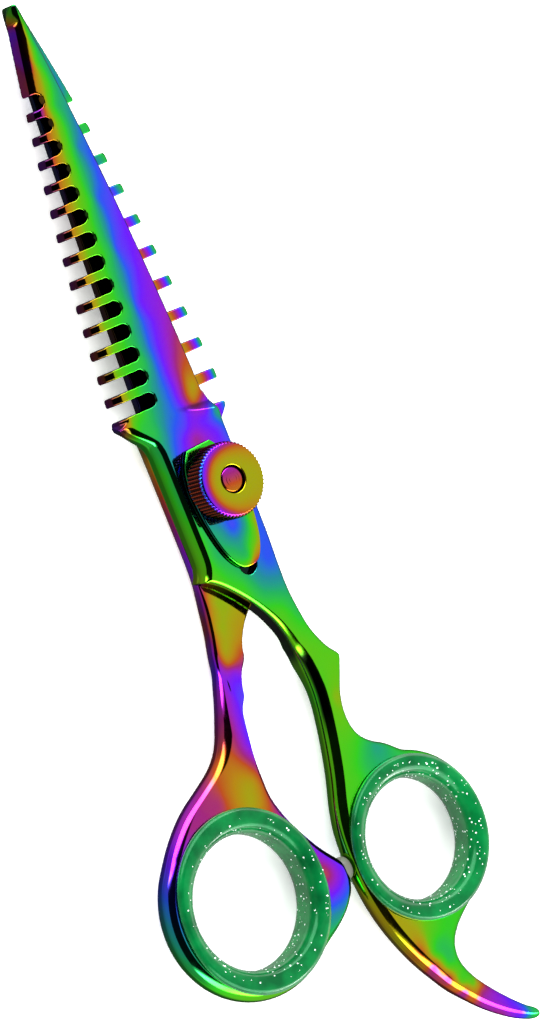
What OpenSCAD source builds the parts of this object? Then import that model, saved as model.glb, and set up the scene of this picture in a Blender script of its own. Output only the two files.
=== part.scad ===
// Thinning shears: two forged halves with teeth on both outer edges, joined by a pivot bolt
// with an adjusting knob, a tension leaf and a click washer. Handles carry soft ring inserts.
// Frame: +Z up through the knob, +Y towards the tips, origin on the pivot axis at the table.
// Heights inside the modules are measured from the ride plane, where the two halves meet.

/* [Frame] */
// Height of the ride plane above the table
ride_z = 3.4; // [3.4:0.05:3.7]
// Gap between the two halves at the ride plane
ride_gap = 0.03; // [0.01:0.01:0.08]

/* [Blades] */
// Distance from the pivot to the tips
tip_y = 77.2; // [76:0.2:79]
// Thickness of each half at the pivot
ricasso_t = 3.2; // [3:0.1:3.2]
// Thickness of each blade at its heel
heel_t = 2.9; // [2.6:0.1:3]
// Thickness of each blade at its tip
tip_t = 1.9; // [1.6:0.1:2.2]
// Slope of the ground face, from the ridge down to the smooth edge
face_slope = 7; // [4:0.5:9]
// Slope of the bevel on the tooth ends
tooth_bevel = 50; // [40:1:60]
// Half the width of the pivot area
ricasso_w = 6.9; // [6.6:0.1:7.2]

/* [Front teeth] */
// Number of teeth on the front half
front_teeth = 13; // [11:1:13]
// Spacing of the front teeth
front_pitch = 3.625; // [3.5:0.005:3.65]
// Width of one front tooth
front_tooth_w = 1.2; // [1:0.05:1.4]
// Distance from the pivot to the first front tooth
front_first_y = 60.6; // [60.4:0.1:61]

/* [Back teeth] */
// Number of teeth on the back half
back_teeth = 9; // [8:1:9]
// Spacing of the back teeth
back_pitch = 5.15; // [5.05:0.01:5.2]
// Width of one back tooth
back_tooth_w = 1.65; // [1.4:0.05:1.9]
// Distance from the pivot to the first back tooth
back_first_y = 56.2; // [56:0.1:56.6]

/* [Handles] */
// Thickness of the shanks and rings
handle_t = 4.2; // [4:0.1:4.2]
// Radius of the finger ring's outside
finger_ring_r = 13.3; // [13:0.1:13.4]
// Radius of the hole in the finger ring, where the insert sits
finger_hole_r = 10.8; // [10.7:0.1:11.2]
// Radius of the thumb ring's outside
thumb_ring_r = 14.4; // [14:0.1:14.6]
// Radius of the hole in the thumb ring, where the insert sits
thumb_hole_r = 11.6; // [11.5:0.1:12]

/* [Inserts] */
// Radius of the finger insert's opening
finger_bore_r = 9.3; // [9:0.05:9.8]
// Radius of the thumb insert's opening
thumb_bore_r = 10.2; // [10:0.05:10.6]
// How far an insert's flange covers its ring
flange_cover = 1.3; // [1.2:0.1:1.6]
// Total height of an insert
insert_h = 6.8; // [6.4:0.1:6.8]

/* [Pivot] */
// Diameter of the adjusting knob
knob_d = 11.7; // [11:0.1:12]
// Height of the adjusting knob
knob_h = 3.9; // [3.6:0.1:4]
// Diameter of the hole in the knob's top
knob_mouth_d = 4.4; // [4.3:0.1:4.6]
// Diameter of the bolt's bearing journal
journal_d = 6; // [5.8:0.1:6.2]
// Diameter of the bolt's thread
thread_d = 4; // [3.8:0.1:4]
// Thickness of the tension leaf
leaf_t = 0.85; // [0.8:0.05:0.9]
// Diameter of the bumper
bumper_d = 3.9; // [3.6:0.1:4]

/* [Hidden] */
$fn = 48;

cut = 1; // how far a cutting body runs past the surface it cuts
far = 60; // reach of the half-space cutters
gold = [0.78, 0.70, 0.16];
violet = [0.45, 0.22, 0.85];
green = [0.20, 0.78, 0.30];
steel = [0.62, 0.62, 0.66];

finger_c = [11.3, -61.6]; // centre of the finger ring
thumb_c = [-20, -58.9]; // centre of the thumb ring
ring_half_t = handle_t / 2;

// Heights of the stack on the pivot bolt, from the ride plane
head_bottom = -ride_z;
head_top = -2.5;
key_top = -0.9;
washer_depth = 0.5;
leaf_z = ricasso_t;
spring_z = leaf_z + leaf_t;
spring_h = 0.6;
ratchet_z = spring_z + spring_h;
ratchet_t = 0.5;
knob_gap = 0.05;
knob_z = ratchet_z + ratchet_t + knob_gap;
knob_top = knob_z + knob_h;
click_count = 24;
detent_r = 3.9;
ball_d = 1;
ball_gap = 0.02;
knob_travel = 0.25; // half a turn of the 0.5 mm thread pitch

head_d = 9.6;
key_d = 7;
key_w = 5.6;
bush_d = 7.6;
stem_d = 4.8;
stem_w = 3.8;
stem_top = ratchet_z + ratchet_t + knob_travel + 0.05;
slip = 0.03; // radial clearance of the running journal
loose = 0.05; // radial clearance of keyed and threaded fits

leaf_turn = 3; // the leaf sits slightly turned about the pivot
recess_c = [0.55, -13]; // blind recess that takes the leaf's tip
recess_r = 1.5;
recess_depth = 1.2;
bevel_z = 1.4; // height at which the bevel on the long sides starts

shank_left = -1.1; // left side of the front shank beside the finger ring
bumper_c = [-1.15, -61]; // end of the bumper, where it meets the front shank
bumper_l = 4.2;

// Half-widths of the blades at a distance s from the tip
function front_tooth_line(s) = 1.15 + 0.222 * s - 0.0011 * s * s;
function back_tooth_line(s) = 1.15 + 0.215 * s - 0.0013 * s * s;
function smooth_line(s) = 0.9 + 0.085 * s - 0.00033 * s * s;
function root_line(s) = 1 + 0.0375 * s;

// Direction of a tooth line, as a turn about Z, from its slope at s
function front_lean(s) = -atan(0.222 - 0.0022 * s);
function back_lean(s) = -atan(0.215 - 0.0026 * s);

// Stations down the front shank to the tang: left x, y, right x, y, lowest, highest
front_stations = [
    [-3, -13, 6.8, -11.5, 0.06, 3.1],
    [-1, -17, 6.6, -15.5, 0.06, 3.1],
    [1.2, -21, 6.6, -19.5, 0.06, 3.1],
    [2.0, -24, 6.7, -22.5, 0.06, 3.1],
    [3.5, -27.5, 7.3, -25.8, -1, 2.9],
    [4.2, -30.5, 9.2, -29.5, -1.9, 2.5],
    [4.4, -32.2, 10.6, -31.5, -2.1, 2.2],
    [4.5, -34, 9.6, -34.2, -2.1, 2.1],
    [4.4, -36.6, 8.4, -37.2, -2.1, 2.1],
    [3.8, -40, 7.9, -40.5, -2.1, 2.1],
    [2.9, -44, 8.4, -44, -2.1, 2.1],
    [1.7, -48, 10.5, -46.2, -2.1, 2.1],
    [0.4, -51.5, 14.4, -48, -2.1, 2.1],
    [-0.6, -55, 11, -52, -2.1, 2.1],
    [-1.1, -58, 6, -57, -2.1, 2.1],
    [-1.1, -61, 5, -61, -2.1, 2.1],
    [-0.9, -64.5, 5, -64, -2.1, 2.1],
    [-0.3, -68, 8, -68, -2.1, 2.1],
    [0.8, -72, 15.8, -74.4, -2.1, 2.1],
    [2.3, -76, 13.3, -76.2, -2.1, 2.1],
    [4.1, -79.6, 11.2, -78.4, -2, 2],
    [5.7, -82.2, 10.7, -81, -1.9, 1.9],
    [7.4, -84.6, 11.6, -83.6, -1.8, 1.8],
    [9.2, -86.8, 13.3, -86.1, -1.7, 1.7],
    [12.1, -90, 16.3, -89.5, -1.6, 1.6],
    [16, -93.2, 19.3, -92.4, -1.5, 1.5],
    [19.5, -94.9, 20.9, -94, -1.2, 1.2]
];
// Stations down the back shank to the lug that holds the bumper
back_stations = [
    [-7, -12, -2, -13, -3.1, -0.04],
    [-7.1, -16, -1.6, -17, -3.1, -0.04],
    [-7.5, -20.3, -1.3, -20.9, -3.1, -0.04],
    [-8.6, -24, -3.8, -24, -3.1, -0.04],
    [-9.5, -25.8, -4.8, -25.9, -3, 0.9],
    [-10.3, -27.6, -6.2, -27.8, -2.8, 1.9],
    [-11.6, -30.5, -7.8, -30.5, -2.4, 2.1],
    [-12.9, -33, -8.9, -33.4, -2.1, 2.1],
    [-14.4, -36.2, -9.6, -37, -2.1, 2.1],
    [-16.6, -38.6, -9.9, -40.4, -2.1, 2.1],
    [-20, -40.6, -9.9, -43.4, -2.1, 2.1],
    [-24.4, -42.9, -9.6, -46, -2.1, 2.1],
    [-28.2, -46, -8.8, -48.8, -2.1, 2.1],
    [-30.4, -49.4, -7.9, -51, -2.1, 2.1],
    [-22, -53, -6.4, -53.8, -2.1, 2.1],
    [-20, -57, -4.7, -56.6, -2.1, 2.1],
    [-19, -60, -2.4, -60, -2.1, 2.1],
    [-18, -62.5, -2.3, -62.6, -2.1, 2.1],
    [-17, -65, -3.2, -64.8, -2.1, 2.1],
    [-16, -67.5, -6.2, -67.4, -2.1, 2.1],
    [-15, -71.4, -9.9, -69.7, -2.1, 2.1]
];
bar_edge = 1.3; // width of the flat bevel along a shank's corners

// Eight corners of a shank at one station, in a ring
function section(s) = let(
        l = [s[0], s[1]],
        r = [s[2], s[3]],
        e = min(bar_edge, (s[5] - s[4]) / 2.6),
        d = (r - l) / norm(r - l) * e,
        li = l + d,
        ri = r - d
    ) [
        [l.x, l.y, s[4] + e],
        [l.x, l.y, s[5] - e],
        [li.x, li.y, s[5]],
        [ri.x, ri.y, s[5]],
        [r.x, r.y, s[5] - e],
        [r.x, r.y, s[4] + e],
        [ri.x, ri.y, s[4]],
        [li.x, li.y, s[4]]
    ];

// A bar through all the stations
module shank(stations) {
    n = len(stations);
    k = 8;
    points = [for (s = stations) for (p = section(s)) p];
    sides = [
        for (i = [0:n - 2])
            for (j = [0:k - 1])
                for (f = [
                    [i * k + j, (i + 1) * k + (j + 1) % k, (i + 1) * k + j],
                    [i * k + j, i * k + (j + 1) % k, (i + 1) * k + (j + 1) % k]
                ]) f
    ];
    first = [[for (j = [k - 1:-1:0]) j]];
    last = [[for (j = [0:k - 1]) (n - 1) * k + j]];
    polyhedron(points = points, faces = concat(sides, first, last), convexity = 4);
}

// Everything above a plane that rises from a point, turned about Z and then tilted about Y
module above(at, turn, tilt) {
    translate(at)
        rotate([0, 0, turn])
            rotate([0, tilt, 0])
                translate([-far, -2 * far, 0])
                    cube([2 * far, 4 * far, far]);
}

// One gap between teeth, open towards -X, with a round root
module gullet(y, w) {
    x = -root_line(tip_y - y) - w / 2;
    translate([x, y, -cut])
        cylinder(d = w, h = heel_t + 2 * cut);
    translate([-far, y - w / 2, -cut])
        cube([far + x, w, heel_t + 2 * cut]);
}

// A blade lying on the ride plane, teeth towards -X. The heel points follow the last tooth.
module toothed_blade(count, pitch, first_y, tooth_w, line, smooth, heel, leans) {
    steps = len(line);
    taper = atan((heel_t - tip_t) / (tip_y - 12));
    difference() {
        linear_extrude(height = heel_t)
            polygon(concat([[-0.5, tip_y]], line, heel, smooth, [[0.5, tip_y]]));
        // thinner towards the tip
        translate([0, 12, heel_t])
            rotate([-taper, 0, 0])
                translate([-far, -2 * far, 0])
                    cube([2 * far, 4 * far, far]);
        // ground face, from the ridge down to the smooth edge
        intersection() {
            translate([-2, 12, heel_t])
                rotate([-taper, face_slope, 0])
                    translate([0, -far, 0])
                        cube([far, 3 * far, far]);
            translate([-far, 11.4, -far])
                cube([2 * far, 2 * far, 2 * far]);
        }
        // bevel on the tooth ends
        for (l = leans)
            above([l[0], l[1], 0.4], l[2], -tooth_bevel);
        for (i = [0:count])
            gullet(first_y + pitch / 2 - i * pitch, pitch - tooth_w);
    }
}

// The flat area round the pivot, with its bevelled long sides
module ricasso(outline, height) {
    difference() {
        linear_extrude(height = height)
            polygon(outline);
        intersection() {
            above([-ricasso_w, 0, bevel_z], 0, -52);
            translate([-far, -12, -far])
                cube([2 * far, 2 * far, 2 * far]);
        }
        mirror([1, 0, 0])
            intersection() {
                above([-ricasso_w, 0, bevel_z], 0, -52);
                translate([-far, -12, -far])
                    cube([2 * far, 2 * far, 2 * far]);
            }
    }
}

// A metal finger ring with bevelled outer corners
module metal_ring(c, r_out, r_in) {
    e = 0.8;
    t = ring_half_t;
    translate([c.x, c.y, 0])
        rotate_extrude()
            polygon([
                [r_in, -t], [r_out - e, -t], [r_out, e - t],
                [r_out, t - e], [r_out - e, t], [r_in, t]
            ]);
}

// A soft ring insert: a tube with a rounded flange over each face of the metal ring
module insert(c, bore_r, hole_r) {
    t = insert_h / 2;
    seat = ring_half_t + 0.05;
    neck = hole_r - 0.05;
    lip = hole_r + flange_cover;
    mid = (bore_r + lip) / 2;
    translate([c.x, c.y, 0])
        rotate_extrude()
            polygon([
                [bore_r, -2.2], [bore_r + 0.15, -2.8], [bore_r + 0.6, 0.35 - t], [mid, -t],
                [lip - 0.5, 0.1 - t], [lip, 0.65 - t], [lip, -seat - 0.3], [lip - 0.3, -seat],
                [neck, -seat], [neck, seat],
                [lip - 0.3, seat], [lip, seat + 0.3], [lip, t - 0.65], [lip - 0.5, t - 0.1],
                [mid, t], [bore_r + 0.6, t - 0.35], [bore_r + 0.15, 2.8], [bore_r, 2.2]
            ]);
}

// A round bar with two flats
module double_d(d, w, z0, z1) {
    intersection() {
        translate([0, 0, z0])
            cylinder(d = d, h = z1 - z0);
        translate([-w / 2, -d, z0 - cut])
            cube([w, 2 * d, z1 - z0 + 2 * cut]);
    }
}

module front_blade() {
    line = [for (s = [2:8.6:62.4]) [-front_tooth_line(s), tip_y - s]];
    smooth = [for (s = [63:-8.5:2]) [smooth_line(s), tip_y - s]];
    leans = [for (s = [4, 20, 38, 56]) [-front_tooth_line(s), tip_y - s, front_lean(s)]];
    heel = [[-10.95, 14.2], [-10.85, 13], [-10, 12], [-7.7, 9.4], [-5, 5], [4, 5]];
    outline = [
        [-ricasso_w, 8.6], [-ricasso_w, -11], [-8, -12.5], [-5.5, -14], [-3.5, -15.8],
        [-1, -18.6], [1, -21.6], [2.2, -24.3], [5.4, -24], [5.3, -20], [5.6, -14], [ricasso_w, -10],
        [ricasso_w, 8.5], [6.6, 10.8], [5.3, 12.6], [0, 11], [-5, 11]
    ];
    color(green)
        translate([0, 0, ride_z])
            difference() {
                union() {
                    translate([0, 0, ride_gap])
                        toothed_blade(front_teeth, front_pitch, front_first_y, front_tooth_w,
                            line, smooth, heel, leans);
                    translate([0, 0, ride_gap])
                        ricasso(outline, ricasso_t - ride_gap);
                    shank(front_stations);
                    // the ring's left side is trimmed flush with the shank
                    intersection() {
                        metal_ring(finger_c, finger_ring_r, finger_hole_r);
                        translate([shank_left, finger_c.y - far, -far])
                            cube([2 * far, 2 * far, 2 * far]);
                    }
                }
                // seat of the pivot bush
                translate([0, 0, -cut])
                    cylinder(d = bush_d, h = ricasso_t + 2 * cut);
                // recess for the leaf's tip
                translate([recess_c.x, recess_c.y, ricasso_t - recess_depth])
                    cylinder(r = recess_r, h = recess_depth + cut);
                translate([finger_c.x, finger_c.y, -handle_t])
                    cylinder(r = finger_hole_r, h = 2 * handle_t);
            }
}

module back_blade() {
    line = [for (s = [2:8.2:64]) [-back_tooth_line(s), tip_y - s]];
    smooth = [for (s = [63:-8.5:2]) [smooth_line(s), tip_y - s]];
    leans = [for (s = [4, 20, 38, 56]) [-back_tooth_line(s), tip_y - s, back_lean(s)]];
    heel = [[-9.6, 10.7], [-9.55, 10.1], [-8.2, 8.4], [-ricasso_w, 7.6], [-5, 5], [4, 5]];
    outline = [
        [-ricasso_w, 7.6], [-ricasso_w, -11], [-5, -14.5], [-1.5, -18.3], [0.8, -19.9],
        [2.7, -22.2], [3.9, -24.2], [8.5, -24.2], [7.5, -20], [6.8, -16], [ricasso_w, -12.6],
        [ricasso_w, 8.5], [6.6, 10.8], [5.3, 12.6], [0, 11], [-5, 10]
    ];
    color(violet)
        translate([0, 0, ride_z])
            difference() {
                union() {
                    rotate([0, 180, 0]) {
                        toothed_blade(back_teeth, back_pitch, back_first_y, back_tooth_w,
                            line, smooth, heel, leans);
                        ricasso(outline, ricasso_t);
                    }
                    shank(back_stations);
                    metal_ring(thumb_c, thumb_ring_r, thumb_hole_r);
                }
                // seat of the bolt head, keyed hole and seat of the friction washer
                translate([0, 0, -ricasso_t - cut])
                    cylinder(d = head_d + 0.2, h = cut + ricasso_t + head_top);
                double_d(key_d + 2 * loose, key_w + 2 * loose, -ricasso_t - cut, cut);
                translate([0, 0, -washer_depth])
                    cylinder(d = 10.7, h = washer_depth + cut);
                translate([thumb_c.x, thumb_c.y, -handle_t])
                    cylinder(r = thumb_hole_r, h = 2 * handle_t);
                // socket of the bumper
                translate([bumper_c.x - bumper_l, bumper_c.y, 0])
                    rotate([0, 90, 0])
                        cylinder(d = bumper_d, h = 2 * bumper_l);
            }
}

module pivot_bolt() {
    dome = 0.5;
    color(gold)
        translate([0, 0, ride_z])
            difference() {
                union() {
                    translate([0, 0, head_bottom])
                        cylinder(d = head_d, h = head_top - head_bottom);
                    double_d(key_d, key_w, head_top - 0.1, key_top);
                    translate([0, 0, key_top - 0.1])
                        cylinder(d = journal_d, h = leaf_z - key_top);
                    double_d(stem_d, stem_w, leaf_z - 0.3, stem_top);
                    translate([0, 0, stem_top - 0.1])
                        cylinder(d = thread_d, h = knob_top - dome - 0.2 - stem_top + 0.1);
                    // domed end in the knob's mouth
                    translate([0, 0, knob_top - dome - 0.2])
                        cylinder(d1 = thread_d, d2 = thread_d - 0.8, h = dome * 0.6);
                    translate([0, 0, knob_top - 0.2 - dome * 0.4])
                        cylinder(d1 = thread_d - 0.8, d2 = 1, h = dome * 0.4);
                }
                // two holes for a pin spanner
                for (x = [-3, 3])
                    translate([x, 0, head_bottom - cut])
                        cylinder(d = 1.4, h = cut + 0.7);
            }
}

module pivot_bush() {
    color("goldenrod")
        translate([0, 0, ride_z + ride_gap])
            difference() {
                cylinder(d = bush_d, h = ricasso_t - ride_gap);
                translate([0, 0, -cut])
                    cylinder(d = journal_d + 2 * slip, h = ricasso_t + 2 * cut);
            }
}

module friction_washer() {
    color("white")
        translate([0, 0, ride_z - washer_depth])
            difference() {
                cylinder(d = 10.6, h = washer_depth);
                translate([0, 0, -cut])
                    cylinder(d = key_d + 0.4, h = washer_depth + 2 * cut);
            }
}

module tension_leaf() {
    half = [
        [2.25, 6.25], [3.9, 4], [4.6, 1], [4.6, -2], [4.4, -5], [3.9, -8],
        [3.2, -10.5], [2.2, -12.2], [1, -13.2]
    ];
    outline = concat(half, [[0, -13.4]], [for (i = [len(half) - 1:-1:0]) [-half[i].x, half[i].y]]);
    color(green)
        translate([0, 0, ride_z + leaf_z])
            rotate([0, 0, leaf_turn])
                difference() {
                    union() {
                        linear_extrude(height = leaf_t)
                            polygon(outline);
                        // pip under the tip, in the blind recess
                        translate([0, -12.6, -0.9])
                            cylinder(d = 1.2, h = 1.3);
                    }
                    translate([0, 0, -cut])
                        cylinder(d = stem_d + 0.6, h = leaf_t + 2 * cut);
                }
}

// A three-wave spring washer
module spring_washer() {
    n = 36;
    r_in = 2.8;
    r_out = 4.3;
    strip = 0.3;
    function height(i) = spring_z + (spring_h - strip) / 2 * (1 + cos(i * 3 * 360 / n));
    points = [
        for (i = [0:n - 1])
            for (c = [[r_in, 0], [r_out, 0], [r_out, strip], [r_in, strip]])
                [c[0] * cos(i * 360 / n), c[0] * sin(i * 360 / n), height(i) + c[1]]
    ];
    faces = [
        for (i = [0:n - 1])
            for (j = [0:3])
                for (f = [
                    [i * 4 + j, i * 4 + (j + 1) % 4, (i + 1) % n * 4 + (j + 1) % 4],
                    [i * 4 + j, (i + 1) % n * 4 + (j + 1) % 4, (i + 1) % n * 4 + j]
                ]) f
    ];
    color(steel)
        translate([0, 0, ride_z])
            polyhedron(points = points, faces = faces, convexity = 4);
}

module ratchet_washer() {
    color(violet)
        translate([0, 0, ride_z + ratchet_z])
            difference() {
                cylinder(d = 10.4, h = ratchet_t);
                double_d(stem_d + 2 * loose, stem_w + 2 * loose, -cut, ratchet_t + cut);
                // click dimples
                for (i = [0:click_count - 1])
                    rotate([0, 0, i * 360 / click_count])
                        translate([detent_r, 0, ratchet_t + 0.38])
                            sphere(r = 0.5);
            }
}

module tension_knob() {
    r = knob_d / 2;
    mouth = knob_mouth_d / 2;
    color(gold)
        translate([0, 0, ride_z + knob_z])
            difference() {
                rotate_extrude()
                    polygon([
                        [0, 0], [r - 0.2, 0], [r, 0.2], [r, knob_h - 1.2], [r - 0.2, knob_h - 0.8],
                        [r - 0.6, knob_h - 0.45], [r - 1.6, knob_h - 0.2], [mouth, knob_h], [0, knob_h]
                    ]);
                translate([0, 0, -cut])
                    cylinder(d = thread_d + 2 * loose, h = knob_h + 2 * cut);
                translate([0, 0, knob_h - 1.1])
                    cylinder(r = mouth, h = 1.1 + cut);
                // clears the bolt's flats as the knob is screwed down
                translate([0, 0, -cut])
                    cylinder(d = stem_d + 0.5, h = 0.7 + cut);
                for (x = [-detent_r, detent_r])
                    translate([x, 0, -cut])
                        cylinder(d = ball_d + 0.1, h = cut + 1.7);
            }
}

module detent_balls() {
    color(steel)
        for (x = [-detent_r, detent_r])
            translate([x, 0, ride_z + ratchet_z + ratchet_t + ball_gap + ball_d / 2])
                sphere(d = ball_d);
}

module detent_springs() {
    z = ride_z + ratchet_z + ratchet_t + ball_gap + ball_d + 0.02;
    color(steel)
        for (x = [-detent_r, detent_r])
            translate([x, 0, z])
                difference() {
                    cylinder(d = ball_d - 0.1, h = 0.6);
                    translate([0, 0, -cut])
                        cylinder(d = 0.5, h = 0.6 + 2 * cut);
                }
}

module finger_insert() {
    color([0.15, 0.8, 0.5, 0.75])
        translate([0, 0, ride_z])
            insert(finger_c, finger_bore_r, finger_hole_r);
}

module thumb_insert() {
    color([0.15, 0.8, 0.5, 0.75])
        translate([0, 0, ride_z])
            insert(thumb_c, thumb_bore_r, thumb_hole_r);
}

module bumper() {
    nose = 0.5;
    color([0.85, 0.9, 0.87, 0.8])
        translate([bumper_c.x - 0.05, bumper_c.y, ride_z])
            rotate([0, -90, 0]) {
                cylinder(d1 = bumper_d - 1.2, d2 = bumper_d - 0.1, h = nose);
                translate([0, 0, nose])
                    cylinder(d = bumper_d - 0.1, h = bumper_l - nose - 0.1);
            }
}

back_blade();
front_blade();
pivot_bolt();
pivot_bush();
friction_washer();
tension_leaf();
spring_washer();
ratchet_washer();
tension_knob();
detent_balls();
detent_springs();
finger_insert();
thumb_insert();
bumper();
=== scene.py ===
"""Thinning shears with a rainbow vapour coating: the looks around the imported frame."""

import math

import bpy
import numpy as np
from mathutils import Matrix, Vector


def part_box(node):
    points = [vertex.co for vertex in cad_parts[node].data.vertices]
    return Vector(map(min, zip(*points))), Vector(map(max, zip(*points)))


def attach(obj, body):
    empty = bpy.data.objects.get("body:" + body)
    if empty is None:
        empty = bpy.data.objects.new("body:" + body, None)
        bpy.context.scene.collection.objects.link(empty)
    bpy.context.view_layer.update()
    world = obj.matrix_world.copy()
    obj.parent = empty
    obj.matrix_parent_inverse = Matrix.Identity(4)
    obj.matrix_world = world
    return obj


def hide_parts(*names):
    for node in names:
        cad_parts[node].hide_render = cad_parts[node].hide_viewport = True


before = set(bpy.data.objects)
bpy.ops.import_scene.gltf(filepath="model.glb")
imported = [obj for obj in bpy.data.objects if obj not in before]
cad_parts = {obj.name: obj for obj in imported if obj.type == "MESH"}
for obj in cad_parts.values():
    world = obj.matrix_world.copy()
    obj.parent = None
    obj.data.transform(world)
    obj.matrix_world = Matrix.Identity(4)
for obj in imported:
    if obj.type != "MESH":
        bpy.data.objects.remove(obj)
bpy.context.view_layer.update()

MM = 0.001


# ---------------------------------------------------------------- places, in mm, from the frame

def cad_box_mm(node):
    """Lowest and highest corner of a CAD node, in mm."""
    low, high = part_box(node)
    return np.array(low) / MM, np.array(high) / MM


def ring_centre(node):
    low, high = cad_box_mm(node)
    return (low[:2] + high[:2]) / 2


RIDE_Z = cad_box_mm("friction_washer")[1][2]
TIP_Y = cad_box_mm("front_blade")[1][1]
FINGER_C = ring_centre("finger_insert")
THUMB_C = ring_centre("thumb_insert")
BUMPER_LOW, BUMPER_HIGH = cad_box_mm("bumper")
LEAF_T = 0.85
LEAF_Z = cad_box_mm("tension_leaf")[1][2] - RIDE_Z - LEAF_T
LEAF_RECESS = (0.55, -13)
KNOB_LOW, KNOB_HIGH = cad_box_mm("tension_knob")
KNOB_R = (KNOB_HIGH[0] - KNOB_LOW[0]) / 2

PIVOT_T = 3.2  # thickness of each half at the pivot
HANDLE_T = 2.1  # half the thickness of the shanks and rings
FINGER_RING_R = 13.55
FINGER_HOLE_R = 10.8
THUMB_RING_R = 14.85
THUMB_HOLE_R = 11.6
FINGER_BORE_R = 9.3
THUMB_BORE_R = 10.2
INSERT_H = 6.8
BUMPER_Y = -61


# ---------------------------------------------------------------- shape tools, in mm

def smoothstep(a, b, x):
    t = np.clip((x - a) / (b - a), 0, 1)
    return t * t * (3 - 2 * t)


def mix(a, b, t):
    return a + (b - a) * t


def smax(a, b, k):
    """The larger of two fields, with their shared edge rounded over about k."""
    return np.maximum(a, b) + np.maximum(k - np.abs(a - b), 0) ** 2 / (4 * k)


def smin(a, b, k):
    return -smax(-a, -b, k)


def arc(centre, r, start, end, n, extra):
    """Points on a circle from one angle to another, in degrees, each followed by the extra values."""
    return [
        (centre[0] + r * math.cos(math.radians(a)), centre[1] + r * math.sin(math.radians(a)), *extra)
        for a in np.linspace(start, end, n)
    ]


def rounded_loop(points, rounds=3):
    """A closed outline with its corners cut again and again. A point given twice stays nearly sharp."""
    p = np.array(points, float)
    for _ in range(rounds):
        q = np.roll(p, -1, axis=0)
        p = np.stack([0.75 * p + 0.25 * q, 0.25 * p + 0.75 * q], axis=1).reshape(-1, p.shape[1])
    return p


class Outline:
    """A closed outline. at(x, y) gives the distance inwards and the values of the nearest edge point."""

    BLOCK = 4.0

    def __init__(self, points):
        ahead = np.roll(points, -1, axis=0)
        if np.sum(points[:, 0] * ahead[:, 1] - ahead[:, 0] * points[:, 1]) < 0:
            points = points[::-1]
        self.a = points
        self.b = np.roll(points, -1, axis=0)
        e = self.b[:, :2] - self.a[:, :2]
        length = np.maximum(np.hypot(e[:, 0], e[:, 1]), 1e-9)
        self.e = e
        self.inner = np.stack([-e[:, 1], e[:, 0]], axis=1) / length[:, None]
        corner = self.inner + np.roll(self.inner, 1, axis=0)
        self.corner = corner / np.maximum(np.linalg.norm(corner, axis=1), 1e-9)[:, None]
        self.length2 = length * length

    def at(self, x, y):
        shape = np.broadcast(x, y).shape
        p = np.stack([np.broadcast_to(x, shape).ravel(), np.broadcast_to(y, shape).ravel()], axis=1)
        out = np.empty((len(p), self.a.shape[1] - 1))
        block = np.floor(p / self.BLOCK).astype(np.int64)
        key = block[:, 0] * 100000 + block[:, 1]
        order = np.argsort(key, kind="stable")
        starts = np.flatnonzero(np.diff(key[order], prepend=key[order[0]] - 1))
        for group in np.split(order, starts[1:]):
            out[group] = self._near(p[group], (block[group[0]] + 0.5) * self.BLOCK)
        return [out[:, i].reshape(shape) for i in range(out.shape[1])]

    def _near(self, p, centre):
        reach = self.BLOCK * math.sqrt(0.5)
        t = np.clip(((centre - self.a[:, :2]) * self.e).sum(1) / self.length2, 0, 1)
        off = np.linalg.norm(self.a[:, :2] + self.e * t[:, None] - centre, axis=1)
        pick = np.flatnonzero(off < off.min() + 2 * reach + 1e-6)
        a, e = self.a[pick], self.e[pick]
        d = p[:, None, :] - a[None, :, :2]
        t = np.clip((d * e[None]).sum(2) / self.length2[pick][None], 0, 1)
        d -= e[None] * t[:, :, None]
        best = np.argmin((d * d).sum(2), axis=1)
        rows = np.arange(len(p))
        t, d, seg = t[rows, best], d[rows, best], pick[best]
        n = self.inner[seg].copy()
        low, high = t <= 0, t >= 1
        n[low] = self.corner[seg[low]]
        n[high] = self.corner[(seg[high] + 1) % len(self.a)]
        side = np.where((d * n).sum(1) >= 0, 1.0, -1.0)
        values = mix(self.a[seg, 2:], self.b[seg, 2:], t[:, None])
        return np.column_stack([side * np.hypot(d[:, 0], d[:, 1]), values])


def rounded_slab(d, h, top, bottom, side, top_r, bottom_r):
    """Distance to a slab between two heights. Its edge is side wide, and top_r and bottom_r high."""
    def half(v, a, b):
        u = np.maximum(a - d, 0) / a
        v = np.maximum(v, 0) / b
        rho = np.sqrt(u * u + v * v)
        slope = np.sqrt((u / a) ** 2 + (v / b) ** 2)
        return np.where(rho < 1e-6, -np.minimum(a, b), (rho - 1) * rho / np.maximum(slope, 1e-6))
    above = half(h - top + top_r, side, top_r)
    below = half(bottom + bottom_r - h, np.minimum(side, bottom_r), bottom_r)
    return np.maximum(above, below)


EDGES = [(a, b) for a in range(8) for b in range(8) if a < b and bin(a ^ b).count("1") == 1]


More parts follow.
